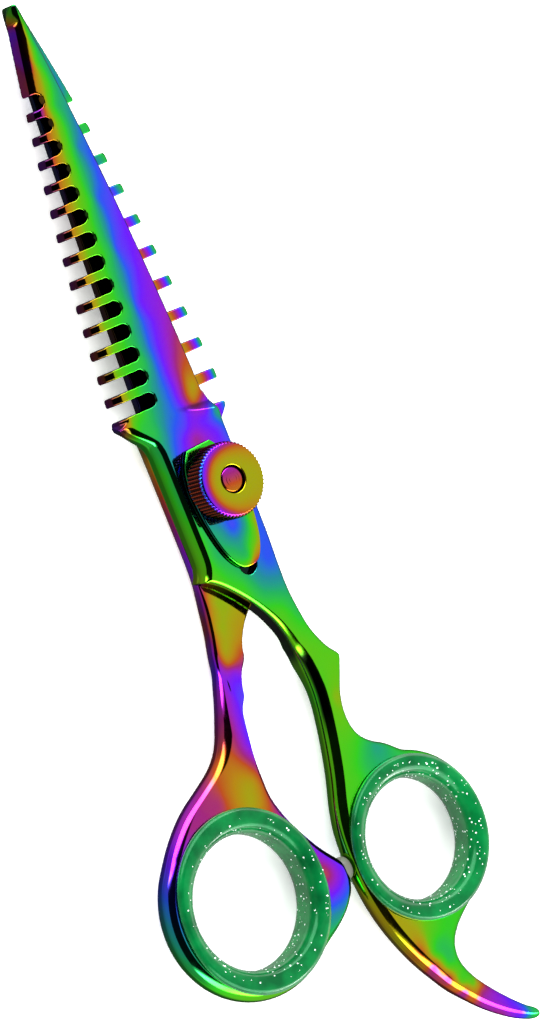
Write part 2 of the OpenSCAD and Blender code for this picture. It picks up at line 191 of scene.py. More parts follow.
def surface(field, low, high, step):
    """Points, quads and normals of the surface where field(x, y, h), negative inside, changes sign."""
    n = [int(math.ceil((high[i] - low[i]) / step)) + 1 for i in range(3)]
    axes = [low[i] + step * np.arange(n[i]) for i in range(3)]
    f = field(axes[0][:, None, None], axes[1][None, :, None], axes[2][None, None, :]).astype(np.float32)
    inside = f < 0
    corners = [(c & 1, c >> 1 & 1, c >> 2 & 1) for c in range(8)]
    count = sum(
        inside[i:n[0] - 1 + i, j:n[1] - 1 + j, k:n[2] - 1 + k].astype(np.int8) for i, j, k in corners
    )
    cell = np.argwhere((count > 0) & (count < 8))
    value = np.stack([f[cell[:, 0] + i, cell[:, 1] + j, cell[:, 2] + k] for i, j, k in corners], axis=1)
    total = np.zeros((len(cell), 3))
    hits = np.zeros(len(cell))
    corner = np.array(corners, float)
    for a, b in EDGES:
        cross = (value[:, a] < 0) != (value[:, b] < 0)
        t = np.where(cross, value[:, a] / np.where(cross, value[:, a] - value[:, b], 1), 0)
        total += np.where(cross[:, None], corner[a] + (corner[b] - corner[a]) * t[:, None], 0)
        hits += cross
    points = np.array(low) + step * (cell + total / hits[:, None])
    number = -np.ones([n[0] - 1, n[1] - 1, n[2] - 1], np.int64)
    number[tuple(cell.T)] = np.arange(len(cell))
    quads = []
    for axis in range(3):
        u, v = (axis + 1) % 3, (axis + 2) % 3
        first = [slice(None)] * 3
        second = [slice(None)] * 3
        first[axis], second[axis] = slice(0, -1), slice(1, None)
        change = inside[tuple(first)] != inside[tuple(second)]
        at = np.argwhere(change)
        at = at[(at[:, u] > 0) & (at[:, v] > 0) & (at[:, u] < n[u] - 1) & (at[:, v] < n[v] - 1)]
        ring = []
        for du, dv in ((-1, -1), (0, -1), (0, 0), (-1, 0)):
            c = at.copy()
            c[:, u] += du
            c[:, v] += dv
            ring.append(number[tuple(c.T)])
        ring = np.stack(ring, axis=1)
        outward = inside[tuple(at.T)]
        quads.append(np.where(outward[:, None], ring, ring[:, ::-1]))
    quads = np.concatenate(quads)
    # one step onto the surface, along the field's own slope
    e = 0.6 * step
    x, y, h = points.T
    here = field(x, y, h)
    slope = np.stack([
        field(x + e, y, h) - field(x - e, y, h),
        field(x, y + e, h) - field(x, y - e, h),
        field(x, y, h + e) - field(x, y, h - e),
    ], axis=1) / (2 * e)
    size = np.maximum(np.linalg.norm(slope, axis=1), 1e-6)
    move = np.clip(here / size, -0.4 * step, 0.4 * step)
    normals = slope / size[:, None]
    return points - normals * move[:, None], quads, normals


# ---------------------------------------------------------------- Blender objects

def new_piece(name, points, faces, body, material, replaces, normals=None, film=None, painted_shading=None):
    """A mesh piece from points in mm, with the coating's phase and the painted light and shade at each point.
    """
    mesh = bpy.data.meshes.new(name)
    mesh.from_pydata((np.asarray(points) * MM).tolist(), [], np.asarray(faces).tolist())
    mesh.polygons.foreach_set("use_smooth", [True] * len(mesh.polygons))
    if film is not None:
        # painted light and shade, kept beside the film as a point attribute; 1 leaves the colour as it is
        painted_shading = np.ones(len(points)) if painted_shading is None else painted_shading
        for label, values in (("film", film), ("painted_shading", painted_shading)):
            attribute = mesh.attributes.new(label, "FLOAT", "POINT")
            attribute.data.foreach_set("value", np.asarray(values, np.float32))
    if normals is not None:
        mesh.normals_split_custom_set_from_vertices(np.asarray(normals).tolist())
    mesh.materials.append(material)
    mesh.update()
    obj = add_object(name, mesh)
    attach(obj, body)
    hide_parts(replaces)


def add_object(name, data):
    obj = bpy.data.objects.new(name, data)
    bpy.context.scene.collection.objects.link(obj)
    return obj


def lathe(profile, centre, steps, bulge=None):
    """A closed profile of (radius, height) turned about a vertical axis: points and quads."""
    profile = np.array(profile, float)
    k = len(profile)
    points = []
    for i in range(steps):
        a = 2 * math.pi * i / steps
        for j, (r, z) in enumerate(profile):
            rr = r + (bulge(a, j, r, z) if bulge else 0)
            points.append((centre[0] + rr * math.cos(a), centre[1] + rr * math.sin(a), z))
    faces = [
        (i * k + j, (i + 1) % steps * k + j, (i + 1) % steps * k + (j + 1) % k, i * k + (j + 1) % k)
        for i in range(steps) for j in range(k)
    ]
    return np.array(points), faces


# ---------------------------------------------------------------- materials

RAINBOW = [
    (0.000, (0.030, 0.62, 0.010)), (0.090, (0.012, 0.45, 0.110)), (0.170, (0.012, 0.27, 0.340)),
    (0.245, (0.020, 0.09, 0.900)), (0.340, (0.150, 0.008, 1.00)), (0.430, (0.300, 0.010, 0.62)),
    (0.510, (0.360, 0.016, 0.20)), (0.590, (0.520, 0.070, 0.010)), (0.690, (0.480, 0.240, 0.002)),
    (0.790, (0.370, 0.370, 0.001)), (0.880, (0.140, 0.540, 0.001)), (1.000, (0.030, 0.62, 0.010)),
]


def node_material(name):
    m = bpy.data.materials.new(name)
    m.use_nodes = True
    tree = m.node_tree
    return m, tree, tree.nodes["Principled BSDF"]


def add(tree, kind, **values):
    n = tree.nodes.new(kind)
    for k, v in values.items():
        setattr(n, k, v)
    return n


def math_node(tree, operation, a, b=None):
    n = add(tree, "ShaderNodeMath", operation=operation)
    for i, v in enumerate((a, b)):
        if isinstance(v, (int, float)):
            n.inputs[i].default_value = v
        elif v is not None:
            tree.links.new(v, n.inputs[i])
    return n.outputs[0]


def noise(tree, scale, detail=2.0, vector=None):
    n = add(tree, "ShaderNodeTexNoise")
    n.inputs["Scale"].default_value = scale
    n.inputs["Detail"].default_value = detail
    if vector is None:
        vector = add(tree, "ShaderNodeTexCoord").outputs["Object"]
    tree.links.new(vector, n.inputs["Vector"])
    return n.outputs["Fac"]


def spread(tree, value, low, high):
    n = add(tree, "ShaderNodeMapRange")
    tree.links.new(value, n.inputs["Value"])
    n.inputs["From Min"].default_value = 0.3
    n.inputs["From Max"].default_value = 0.7
    n.inputs["To Min"].default_value = low
    n.inputs["To Max"].default_value = high
    return n.outputs["Result"]


def add_bump(tree, shader, height, strength, distance):
    b = add(tree, "ShaderNodeBump")
    b.inputs["Strength"].default_value = strength
    b.inputs["Distance"].default_value = distance
    tree.links.new(height, b.inputs["Height"])
    tree.links.new(b.outputs["Normal"], shader.inputs["Normal"])


def coated_steel(name, rough=(0.05, 0.11)):
    """Polished steel with an interference coating, coloured by the film's phase and a little by noise, then
    darkened or brightened by the painted light and shade.
    """
    m, tree, shader = node_material(name)
    source = add(tree, "ShaderNodeAttribute", attribute_name="film").outputs["Fac"]
    drift = spread(tree, noise(tree, 160.0, 3.0), -0.012, 0.012)
    turned = math_node(tree, "FRACT", math_node(tree, "ADD", source, drift))
    ramp = add(tree, "ShaderNodeValToRGB")
    stops = ramp.color_ramp.elements
    stops[0].position, stops[0].color = RAINBOW[0][0], (*RAINBOW[0][1], 1)
    stops[1].position, stops[1].color = RAINBOW[-1][0], (*RAINBOW[-1][1], 1)
    for at, colour in RAINBOW[1:-1]:
        stops.new(at).color = (*colour, 1)
    tree.links.new(turned, ramp.inputs["Fac"])
    # painted light and shade: the ramp's colour is scaled by the painted shading attribute
    dark = add(tree, "ShaderNodeVectorMath", operation="SCALE")
    tree.links.new(ramp.outputs["Color"], dark.inputs[0])
    painted_shading = add(tree, "ShaderNodeAttribute", attribute_name="painted_shading").outputs["Fac"]
    tree.links.new(painted_shading, dark.inputs["Scale"])
    tree.links.new(dark.outputs[0], shader.inputs["Base Color"])
    shader.inputs["Metallic"].default_value = 1.0
    shader.inputs["Specular Tint"].default_value = (0.35, 0.35, 0.35, 1.0)
    shader.inputs["Coat Weight"].default_value = 0.18
    shader.inputs["Coat Roughness"].default_value = 0.04
    tree.links.new(spread(tree, noise(tree, 900.0, 4.0), *rough), shader.inputs["Roughness"])
    add_bump(tree, shader, noise(tree, 5000.0, 2.0), 0.05, 0.00002)
    return m


def plain_metal(name, colour, rough):
    m, tree, shader = node_material(name)
    shader.inputs["Metallic"].default_value = 1.0
    tint = add(tree, "ShaderNodeMix", data_type="RGBA")
    tree.links.new(spread(tree, noise(tree, 700.0, 3.0), 0.0, 1.0), tint.inputs["Factor"])
    tint.inputs["A"].default_value = (*colour, 1)
    tint.inputs["B"].default_value = (*[0.8 * c for c in colour], 1)
    tree.links.new(tint.outputs["Result"], shader.inputs["Base Color"])
    uneven = spread(tree, noise(tree, 1500.0, 3.0), rough * 0.7, rough * 1.3)
    tree.links.new(uneven, shader.inputs["Roughness"])
    add_bump(tree, shader, noise(tree, 4000.0, 2.0), 0.15, 0.00002)
    return m


def polymer(name, colour, rough):
    m, tree, shader = node_material(name)
    tint = add(tree, "ShaderNodeMix", data_type="RGBA")
    tree.links.new(noise(tree, 400.0, 3.0), tint.inputs["Factor"])
    tint.inputs["A"].default_value = (*colour, 1)
    tint.inputs["B"].default_value = (*[0.9 * c for c in colour], 1)
    tree.links.new(tint.outputs["Result"], shader.inputs["Base Color"])
    tree.links.new(spread(tree, noise(tree, 900.0, 2.0), rough, rough + 0.15), shader.inputs["Roughness"])
    return m


def silicone(name, light, dark, transmission, rough, ior, sheen):
    """Clear tinted silicone, slightly cloudy inside."""
    m, tree, shader = node_material(name)
    tint = add(tree, "ShaderNodeMix", data_type="RGBA")
    tree.links.new(spread(tree, noise(tree, 250.0, 3.0), 0.0, 1.0), tint.inputs["Factor"])
    tint.inputs["A"].default_value = (*light, 1)
    tint.inputs["B"].default_value = (*dark, 1)
    tree.links.new(tint.outputs["Result"], shader.inputs["Base Color"])
    tree.links.new(spread(tree, noise(tree, 600.0, 2.0), rough, rough * 1.6), shader.inputs["Roughness"])
    shader.inputs["Transmission Weight"].default_value = transmission
    shader.inputs["IOR"].default_value = ior
    shader.inputs["Specular Tint"].default_value = (*sheen, 1)
    add_bump(tree, shader, noise(tree, 1800.0, 2.0), 0.1, 0.00003)
    return m


FRONT_STEEL = coated_steel("front_rainbow_steel")
BACK_STEEL = coated_steel("back_rainbow_steel")
LEAF_STEEL = coated_steel("leaf_rainbow_steel")
KNOB_STEEL = coated_steel("knob_rainbow_steel", rough=(0.07, 0.13))
BOLT_STEEL = coated_steel("bolt_rainbow_steel", rough=(0.10, 0.18))
SPRING_STEEL = plain_metal("bright_spring_steel", (0.62, 0.62, 0.65), 0.18)
BUSH_BRASS = plain_metal("turned_brass", (0.80, 0.60, 0.28), 0.22)
RATCHET_STEEL = plain_metal("dark_coated_steel", (0.16, 0.13, 0.45), 0.2)
WASHER_PLASTIC = polymer("white_polymer", (0.88, 0.88, 0.86), 0.35)
INSERT_SILICONE = silicone("green_silicone", (0.002, 0.190, 0.040), (0.001, 0.075, 0.018),
                           transmission=0.10, rough=0.12, ior=1.36, sheen=(0.30, 1.0, 0.55))
BUMPER_SILICONE = silicone("clear_silicone", (0.135, 0.140, 0.112), (0.105, 0.11, 0.088),
                           transmission=0.05, rough=0.38, ior=1.36, sheen=(1, 1, 1))
FLAKE = polymer("glitter_flake", (0.85, 1.0, 0.92), 0.3)


def film_at(stations, x, y):
    """The coating's phase at a place: a smooth surface through the stations."""
    st = np.array(stations)

    def kernel(dx, dy):
        return np.sqrt(dx * dx + 0.6 * dy * dy + 0.3)

    n = len(st)
    system = np.ones((n + 1, n + 1))
    between = kernel(st[:, None, 0] - st[None, :, 0], st[:, None, 1] - st[None, :, 1])
    system[:n, :n] = between - 0.03 * np.eye(n)
    system[n, n] = 0
    weights = np.linalg.solve(system, np.append(st[:, 2], 0))
    phase = np.full(np.shape(x), weights[n])
    for (sx, sy, _), w in zip(stations, weights):
        phase += w * kernel(x - sx, y - sy)
    return phase


def steel_painted_shading(points, normals):
    """Painted shade: darker side walls, and nearly black ground facets and gullets on the blade."""
    flat = np.abs(normals[:, 2])
    x, y = points[:, 0], points[:, 1]
    # painted shade by slant: the steeper the face, the darker its colour
    handle = mix(0.38, 1, smoothstep(0.10, 0.55, flat))
    blade = mix(mix(0.12, 0.4, smoothstep(60, 63, y)), 1, smoothstep(0.80, 0.95, flat))
    heel_tooth_shade = smoothstep(-9.2, -9.8, x) * smoothstep(8, 9, y)
    return mix(handle, blade, np.maximum(smoothstep(10, 12.5, y), heel_tooth_shade))


def front_painted_shading(points, normals):
    """Painted black shade in the crotch's wall, along the shank's left band and in the leaf's recess."""
    x, y = points[:, 0], points[:, 1]
    # painted shade on the crotch's steep wall
    wall = smoothstep(-10, -11.5, y) * smoothstep(-31, -28, y) * smoothstep(5, 3.5, x)
    wall = wall * smoothstep(0, -0.3, normals[:, 1]) * smoothstep(0.6, 0.3, np.abs(normals[:, 2]))
    # a painted dark reflection along the shank's left band
    band = smoothstep(-27.5, -29.5, y) * smoothstep(-43, -38, y) * smoothstep(-0.25, -0.42, normals[:, 0])
    wall = np.maximum(wall, band * smoothstep(-0.86, -0.74, normals[:, 0]) * smoothstep(8, 7, x))
    # painted shade inside the leaf's recess
    from_recess = np.hypot(x - LEAF_RECESS[0], y - LEAF_RECESS[1])
    recess = smoothstep(1.75, 1.6, from_recess) * smoothstep(2.9, 2.7, points[:, 2])
    return mix(steel_painted_shading(points, normals), 0.03, np.maximum(wall, recess))


def back_painted_shading(points, normals):
    """Painted light beside the pivot, and painted black shade where it shows through the front half's
    gullets.
    """
    painted_shade_under_gullets = smoothstep(9, 11, points[:, 1]) * smoothstep(0.5, -1.0, points[:, 0])
    painted_light_beside_pivot = 0.8 * smoothstep(-16, -12, points[:, 1]) * smoothstep(8.5, 6, points[:, 1])
    return mix(mix(steel_painted_shading(points, normals), 1.0, painted_light_beside_pivot), 0.04, painted_shade_under_gullets)


# ---------------------------------------------------------------- the two halves

class Blade:
    """One half lying on the ride plane, teeth towards -X. Lengths run from the tip."""

    def __init__(self, teeth, pitch, width, first_y, line, smooth):
        self.teeth, self.pitch, self.width, self.first_y = teeth, pitch, width, first_y
        self.line_terms, self.smooth_terms = line, smooth

    def tooth_line(self, s):
        a, b, c = self.line_terms
        return a + b * s + c * s * s

    def smooth_line(self, s):
        a, b, c = self.smooth_terms
        return a + b * s + c * s * s

    def root_line(self, s):
        return 1 + 0.0375 * s

    def lean(self, s):
        return np.arctan(self.line_terms[1] + 2 * self.line_terms[2] * s)

    def outline(self, edge):
        """The tip, down to the heel along the teeth, and up the smooth edge."""
        tooth_side = [(-self.tooth_line(s), TIP_Y - s, *edge) for s in np.linspace(2.2, 62, 16)]
        smooth_side = [(self.smooth_line(s), TIP_Y - s, *edge) for s in np.linspace(60, 2, 12)]
        tip = [(0.35, TIP_Y - 0.12, *edge), (-0.4, TIP_Y - 0.07, *edge)]
        return tooth_side, smooth_side, tip

    def gullets(self, x, y):
        """Positive inside a gap between two teeth."""
        gap = self.pitch - self.width
        i = np.clip(np.round((self.first_y + self.pitch / 2 - y) / self.pitch), 0, self.teeth)
        yc = self.first_y + self.pitch / 2 - i * self.pitch
        xc = -self.root_line(TIP_Y - yc) - gap / 2
        along = np.maximum(x - xc, 0)
        return gap / 2 - np.hypot(along, y - yc)

    def top(self, x, y):
        """Height of the ground faces: a narrow one behind the teeth and a wide one to the smooth edge."""
        s = TIP_Y - y
        part = np.clip(s / 62, 0, 1)
        rise = mix(0.45, 0.75, part)
        ridge_x, ridge_h = -2 * part, 1.9 + 1.0 * part
        strip_x = -self.tooth_line(s) + (0.75 + rise * 1.54) / np.cos(self.lean(s))
        strip_slope = (ridge_h - 1.3 - rise) / np.maximum(ridge_x - strip_x, 0.15)
        strip = ridge_h - strip_slope * (ridge_x - x)
        drop = mix(0.5, 0.9, part)
        across = np.clip((x - ridge_x) / np.maximum(self.smooth_line(s) - ridge_x, 0.5), 0, 1.5)
        face = ridge_h - drop * (1.35 * across - 0.35 * across * across)
        return smin(strip, face, 0.2)

    def bevels(self, x, y, h):
        """Distance outside the tooth ends' two facets, and outside the lip along the smooth edge."""
        s = TIP_Y - y
        heel = np.maximum(13.6 - y, 0)
        part = np.clip(s / 62, 0, 1)
        inwards = (x + self.tooth_line(s)) * np.cos(self.lean(s)) + 1.5 * heel
        ends = 0.5 * h - 0.866 * inwards
        bevel = (h - 1.3) * 0.839 - (inwards - 0.75) * 0.545
        from_edge = self.smooth_line(s) - x + 0.8 * heel
        lip = (h - 1.9 - part + mix(0.5, 0.9, part) + 0.42) * 0.643 - from_edge * 0.766
        return smax(ends, bevel, 0.12), lip


class Half:
    """A forged half. field(x, y, h) is the distance to its surface, with h above the ride plane."""

    def __init__(self, blade, outline, ring_c, hole_r, handle):
        self.blade, self.shape = blade, Outline(rounded_loop(outline))
        self.ring_c, self.hole_r, self.handle = ring_c, hole_r, handle

    def field(self, x, y, h):
        d, side, top_r, bottom_r = self.shape.at(x, y)
        top, bottom = self.handle(x, y)
        step_y = 11.3 - 0.16 * np.maximum(x, -1.5)
        left = smoothstep(8.5, 13.0, y)
        right = smoothstep(-0.4, 1.7, y - step_y)
        ground = mix(left, right, smoothstep(-3.0, -0.8, x))
        top = mix(top, self.blade.top(x, y), ground)
        body = rounded_slab(d, h, top, bottom, side, top_r, bottom_r)
        ends, lip = self.blade.bevels(x, y, h)
        gullets = self.blade.gullets(x, y) - 10 * (y < 8)
        body = smax(smax(body, lip, 0.12), gullets, 0.1)
        body = smax(body, smax(ends, gullets, 0.4), 0.1)
        hole = self.hole_r - np.hypot(x - self.ring_c[0], y - self.ring_c[1])
        return smax(body, hole, 0.25)


def front_heights(x, y):
    """Top and bottom of the front half: above the ride plane at the pivot, centred on it at the shank."""
    tang = 0.7 * smoothstep(-78, -94, y)
    top = mix(HANDLE_T, PIVOT_T, smoothstep(-38, -21, y)) - tang
    bottom = mix(tang - HANDLE_T, 0.02, smoothstep(-31, -25, y))
    return top + 0 * x, bottom + 0 * x


U_END = (7.2, -26.1)


def back_heights(x, y):
    """The same for the back half in the turned frame. Its ride face runs out in a U."""
    top = mix(HANDLE_T, PIVOT_T, smoothstep(-32, -24, y))
    off = x - U_END[0]
    bend = np.where(off > 0, 1.5, 0.1)
    beyond = (y - U_END[1] - bend * off * off) / np.sqrt(1 + (2 * bend * off) ** 2)
    reach = mix(6.0, 3.4, smoothstep(-0.5, 2.5, off))
    bottom = mix(-HANDLE_T, 0.02, smoothstep(-1, 0, (beyond - 0.2) / reach))
    return top + 0 * x, bottom


SHARP = (0.15, 0.15, 0.12)  # edge width, and height above and below
PIVOT_SIDE = (1.8, 3.0, 0.12)
WALL = (0.8, 0.8, 0.12)
SHANK = (2.0, 2.1, 2.1)
SHANK_LEFT = (2.3, 2.1, 2.1)
HEEL_SLOPE = (1.5, 2.1, 0.12)
RING = (1.9, 2.1, 2.1)


def with_edge(points, edge):
    return [(x, y, *edge) for x, y in points]


def front_outline(blade):
    teeth, smooth, tip = blade.outline(SHARP)
    return (
        tip + teeth
        + with_edge([(-10.98, 14.3), (-10.95, 14.1), (-10.85, 13), (-10.8, 12.8)], SHARP)
        + with_edge([(-10, 12), (-8.9, 10.7), (-7.7, 9.4)], HEEL_SLOPE)
        + with_edge([(-6.95, 8), (-6.9, 5), (-6.9, 0), (-6.9, -6), (-6.9, -10)], PIVOT_SIDE)
        + with_edge([(-7.2, -11.4), (-8.0, -12.6), (-9, -14.5), (-9, -19)], PIVOT_SIDE)
        + with_edge([(-4, -24), (0, -25.4), (2.0, -26.2)], (1.3, 1.3, 0.12))
        + with_edge([(3.1, -27.9)], (1.8, 1.8, 0.9))
        + with_edge([(3.75, -30.5)], (2.1, 2.1, 1.6))
        + with_edge([(4.1, -34), (4, -36.6), (3.4, -40), (2.5, -44), (1.4, -48)], SHANK_LEFT)
        + with_edge([(0.1, -51.5), (-0.8, -55), (-1.1, -58), (-1.1, -61), (-0.95, -64.5)], SHANK_LEFT)
        + with_edge([(-0.5, -68), (0.5, -72), (2.0, -76), (3.8, -79.7), (5.4, -82.3)], SHANK)
        + with_edge([(7.1, -84.8), (9.0, -87), (12.0, -90.2), (16, -93.3), (19.2, -94.9)],
                    (1.5, 1.7, 1.7))
        + with_edge([(20.6, -95.0), (21.0, -94.3), (20.6, -93.4)], (1.2, 1.2, 1.2))
        + with_edge([(19.3, -92.4), (16.3, -89.5), (13.3, -86.1), (11.6, -83.6)], (2.4, 1.8, 1.8))
        + with_edge([(10.7, -81), (11.2, -78.4), (13.3, -76.2)], SHANK)
        + arc(FINGER_C, FINGER_RING_R, -67, 73, 18, RING)
        + with_edge([(12.9, -46.5), (10.4, -45.2), (8.5, -43.2), (7.9, -40.5), (8.4, -37.2)],
                    (1.2, 2.1, 2.1))
        + with_edge([(9.6, -34.2), (10.5, -32), (10.7, -31.3), (10.4, -30.7)], (1.0, 1.6, 1.6))
        + with_edge([(9.2, -29.2), (7.4, -25.8), (6.7, -22.5)], (1.4, 2.4, 1.2))
        + with_edge([(6.5, -19), (6.6, -15), (6.9, -10), (6.95, -4), (6.95, 2), (6.95, 8)], PIVOT_SIDE)
        + with_edge([(6.7, 10.5)], (1.2, 1.6, 0.12))
        + with_edge([(5.5, 12.6), (5.1, 14)], SHARP)
        + smooth
    )


def front_crotch():
    """The wall from the pivot area's lower left corner into the shank, with its rounding."""
    wall = [
        (-14, -10.6, 0.9), (-8, -12.6, 0.9), (-5.5, -14, 0.9), (-3.5, -15.8, 0.9),
        (-1, -18.6, 0.95), (1, -21.6, 1.05), (2.3, -24.5, 1.3), (3.1, -27.9, 1.7),
        (3.75, -30.5, 2.0), (4.1, -34, 2.1), (4, -36.6, 2.1), (3.4, -40, 2.1), (-2, -44, 2.1),
        (-20, -50, 2.1), (-20, -110, 2.1), (60, -110, 2.1), (60, 95, 1), (-30, 95, 1),
        (-30, -8, 1),
    ]
    return Outline(rounded_loop(wall))


def back_outline(blade):
    """In the turned frame, where the back half lies like the front one."""
    teeth, smooth, tip = blade.outline(SHARP)
    cx, cy = -THUMB_C[0], THUMB_C[1]
    return (
        tip + teeth
        + with_edge([(-9.65, 10.8), (-9.6, 10.6), (-9.5, 9.9), (-9.4, 9.8)], SHARP)
        + with_edge([(-8.2, 8.5), (-7.4, 7.9)], HEEL_SLOPE)
        + with_edge([(-6.95, 6.5), (-6.9, 4), (-6.9, 0), (-6.9, -6), (-6.9, -10)], PIVOT_SIDE)
        + with_edge([(-6.4, -12.6), (-4.6, -15), (-1.8, -18), (0.8, -20), (2.6, -22), (3.8, -24.2)], WALL)
        + with_edge([(3.77, -25.9)], (1.3, 1.6, 0.8))
        + with_edge([(5.46, -27.8)], (1.7, 1.8, 1.3))
        + with_edge([(6.89, -30.5), (8.07, -33.4), (9.04, -37), (9.58, -40.4), (9.58, -43.4)], SHANK)
        + with_edge([(9.6, -46), (8.8, -48.8), (7.9, -51), (6.4, -53.8), (4.7, -56.6)], SHANK)
        + with_edge([(2.7, -59), (1.9, -60), (1.75, -61.3), (1.9, -62.9), (2.8, -65), (5.6, -67.8)],
                    (1.6, 2.1, 2.1))
        + arc((cx, cy), THUMB_RING_R, 230, 401, 24, RING)
        + with_edge([(28.6, -46), (24.8, -42.7), (20.2, -40.3), (16.8, -38.4), (14.6, -36)],
                    (2.4, 2.1, 2.1))
        + with_edge([(13.18, -33), (12.01, -30.5)], (2.2, 2.1, 2.1))
        + with_edge([(10.72, -28)], (1.9, 2.1, 1.8))
        + with_edge([(9.6, -26)], (1.4, 2.4, 1.3))
        + with_edge([(8.95, -23.6), (8.0, -20.3), (7.3, -16)], (0.9, 2.8, 0.8))
        + with_edge([(6.95, -12), (6.9, -6), (6.9, 0), (6.9, 8)], PIVOT_SIDE)
        + with_edge([(6.6, 10.6)], (1.2, 1.6, 0.12))
        + with_edge([(5.4, 12.6), (5.1, 14)], SHARP)
        + smooth
    )


front_blade = Blade(teeth=13, pitch=3.625, width=1.42, first_y=60.6,
                    line=(1.15, 0.222, -0.0011), smooth=(0.85, 0.125, -0.00085))
back_blade = Blade(teeth=9, pitch=5.15, width=1.65, first_y=56.2,
                   line=(1.35, 0.222, -0.0013), smooth=(0.9, 0.085, -0.00033))
front_half = Half(front_blade, front_outline(front_blade), FINGER_C, FINGER_HOLE_R, front_heights)
back_half = Half(back_blade, back_outline(back_blade), (-THUMB_C[0], THUMB_C[1]), THUMB_HOLE_R, back_heights)
crotch = front_crotch()


def front_field(x, y, h):
    """The front half with its crotch, the bush's hole and the leaf's recess."""
    body = front_half.field(x, y, h)
    inwards, rounding = crotch.at(x, y)
    top = front_heights(x, y)[0]
    body = smax(body, rounded_slab(inwards, h, top + 0.02, -9.0, rounding, rounding, 0.1 + 0 * x), 0.1)
    bush = 3.8 - np.hypot(x, y)
    recess = np.minimum(1.5 - np.hypot(x - LEAF_RECESS[0], y - LEAF_RECESS[1]), h - 2.0)
    return smax(smax(body, bush, 0.1), recess, 0.15)


def back_field(x, y, h):
    """The turned back half with its keyed hole, two seats round it and the bumper's socket."""
    body = back_half.field(x, y, h)
    r = np.hypot(x, y)
    key = np.minimum(3.55 - r, 2.85 - np.abs(x))
    head = np.minimum(4.9 - r, h - 2.5)
    washer = np.minimum(5.35 - r, 0.5 - h)
    bumper = np.minimum(1.95 - np.hypot(y - BUMPER_Y, h), 2.7 - x)
    for cut in (key, head, washer, bumper):
        body = smax(body, cut, 0.1)
    return body


# film stations: x, y and the phase there, unwrapped so that neighbours blend
FRONT_FILM = [
    (-1.0, 76.4, -0.02), (-1.4, 73, -0.60), (-0.8, 73, -0.50), (-0.2, 73, -0.22), (0.3, 72, -0.04),
    (0.9, 71, 0.10), (-3.0, 68, -0.44), (-2.2, 68, -0.56), (-1.4, 68, -0.52), (-0.8, 68, -0.24),
    (-0.2, 68, -0.04), (0.9, 68, 0.06), (1.6, 66, 0.12), (-4.4, 61, -0.44), (-3.2, 61, -0.56),
    (-2.0, 61, -0.40), (-1.2, 61, -0.14), (-0.4, 61, 0.0), (0.5, 61, 0.08), (2.1, 61, 0.14),
    (-6.0, 54, -0.58), (-3.6, 54, -0.40), (-2.0, 54, -0.18), (-1.0, 54, -0.05), (0.2, 54, 0.08),
    (0.9, 54, 0.18), (2.5, 54, 0.22), (-7.2, 46, -0.58), (-5.0, 46, -0.34), (-3.4, 46, -0.16),
    (-1.8, 46, -0.04), (-0.6, 46, 0.06), (0.6, 46, 0.22), (2.8, 46, 0.28), (-8.4, 38, -0.58),
    (-6.3, 38, -0.30), (-4.4, 38, -0.09), (-2.2, 38, 0.0), (-0.9, 38, 0.09), (0.5, 38, 0.26),
    (3.4, 38, 0.35), (-9.8, 29, -0.58), (-7.6, 29, -0.26), (-5.4, 29, -0.05), (-2.6, 29, 0.03),
    (-1.4, 29, 0.12), (0.2, 29, 0.30), (4.0, 29, 0.40), (-10.8, 21, -0.58), (-8.6, 21, -0.22),
    (-6.4, 21, -0.03), (-3.0, 21, 0.06), (-1.6, 21, 0.18), (0.6, 21, 0.35), (2.2, 21, 0.43),
    (4.4, 21, 0.54), (-10.8, 13.6, -0.58), (-9.4, 13, -0.34), (-8.0, 13.0, -0.06),
    (-6.0, 13.6, 0.02), (-3.4, 15, 0.14), (-0.6, 15, 0.28), (1.6, 15.5, 0.48), (3.9, 14.5, 0.74),
    (3.0, 12.8, 0.66), (0.4, 12.4, 0.34), (-8.5, 10.6, 0.02), (-6.0, 10.4, 0.06), (-3.4, 10, 0.20),
    (-0.8, 9.6, 0.29), (2.5, 9.6, 0.34), (0.2, 7.2, 0.48), (5.6, 10, 0.12), (4.6, 7.5, 0.30),
    (-6.6, 4, 0.03), (-5.0, 4, 0.18), (-3.6, 3, 0.30), (5.5, 3, 0.30), (-6.6, -6, -0.03),
    (-5.0, -7, 0.02), (-3.8, -10, 0.08), (5.4, -7, 0.24), (-6.8, -11, -0.08), (4.2, -13.5, 0.24),
    (-4.4, -13, 0.0), (-1.5, -15.4, 0.02), (1.4, -16.8, 0.12), (5.6, -18, 0.13), (3.0, -22, -0.05),
    (6.0, -22.5, 0.06), (4.6, -28, -0.08), (8.5, -30, -0.06), (6.8, -37, -0.16), (4.6, -36, 0.0),
    (6.6, -43, -0.06), (8.2, -48, 0.07), (5.0, -49, -0.02), (10.4, -46.0, 0.13),
    (13.5, -47.0, 0.06), (2.4, -55, -0.02), (1.0, -62, -0.06), (-0.6, -66, -0.16),
    (2.0, -70, -0.24), (20, -50, -0.02), (24, -62, 0.0), (16, -73.5, 0.0), (8.4, -76, 0.0),
    (10.9, -78, 0.0), (6.3, -78.4, -0.03), (7.7, -81, -0.03), (9.5, -82.6, -0.04),
    (9.1, -84.2, -0.08), (10.9, -85.4, -0.12), (11.7, -87.2, -0.46), (13.5, -89.4, -0.56),
    (15.9, -91.4, -0.62), (4.1, -77.4, -0.40), (5.5, -80.4, -0.47), (7.1, -83.2, -0.48),
    (9.1, -86.0, -0.48), (11.5, -88.6, -0.50), (14.3, -91.2, -0.52), (1.7, -75.6, -0.18),
    (3.5, -80.0, -0.20), (6.1, -84.4, -0.24), (9.3, -88.2, -0.30), (13.9, -92.6, -0.36),
    (17.5, -93.4, -0.66), (19.5, -94.3, -0.92),
]


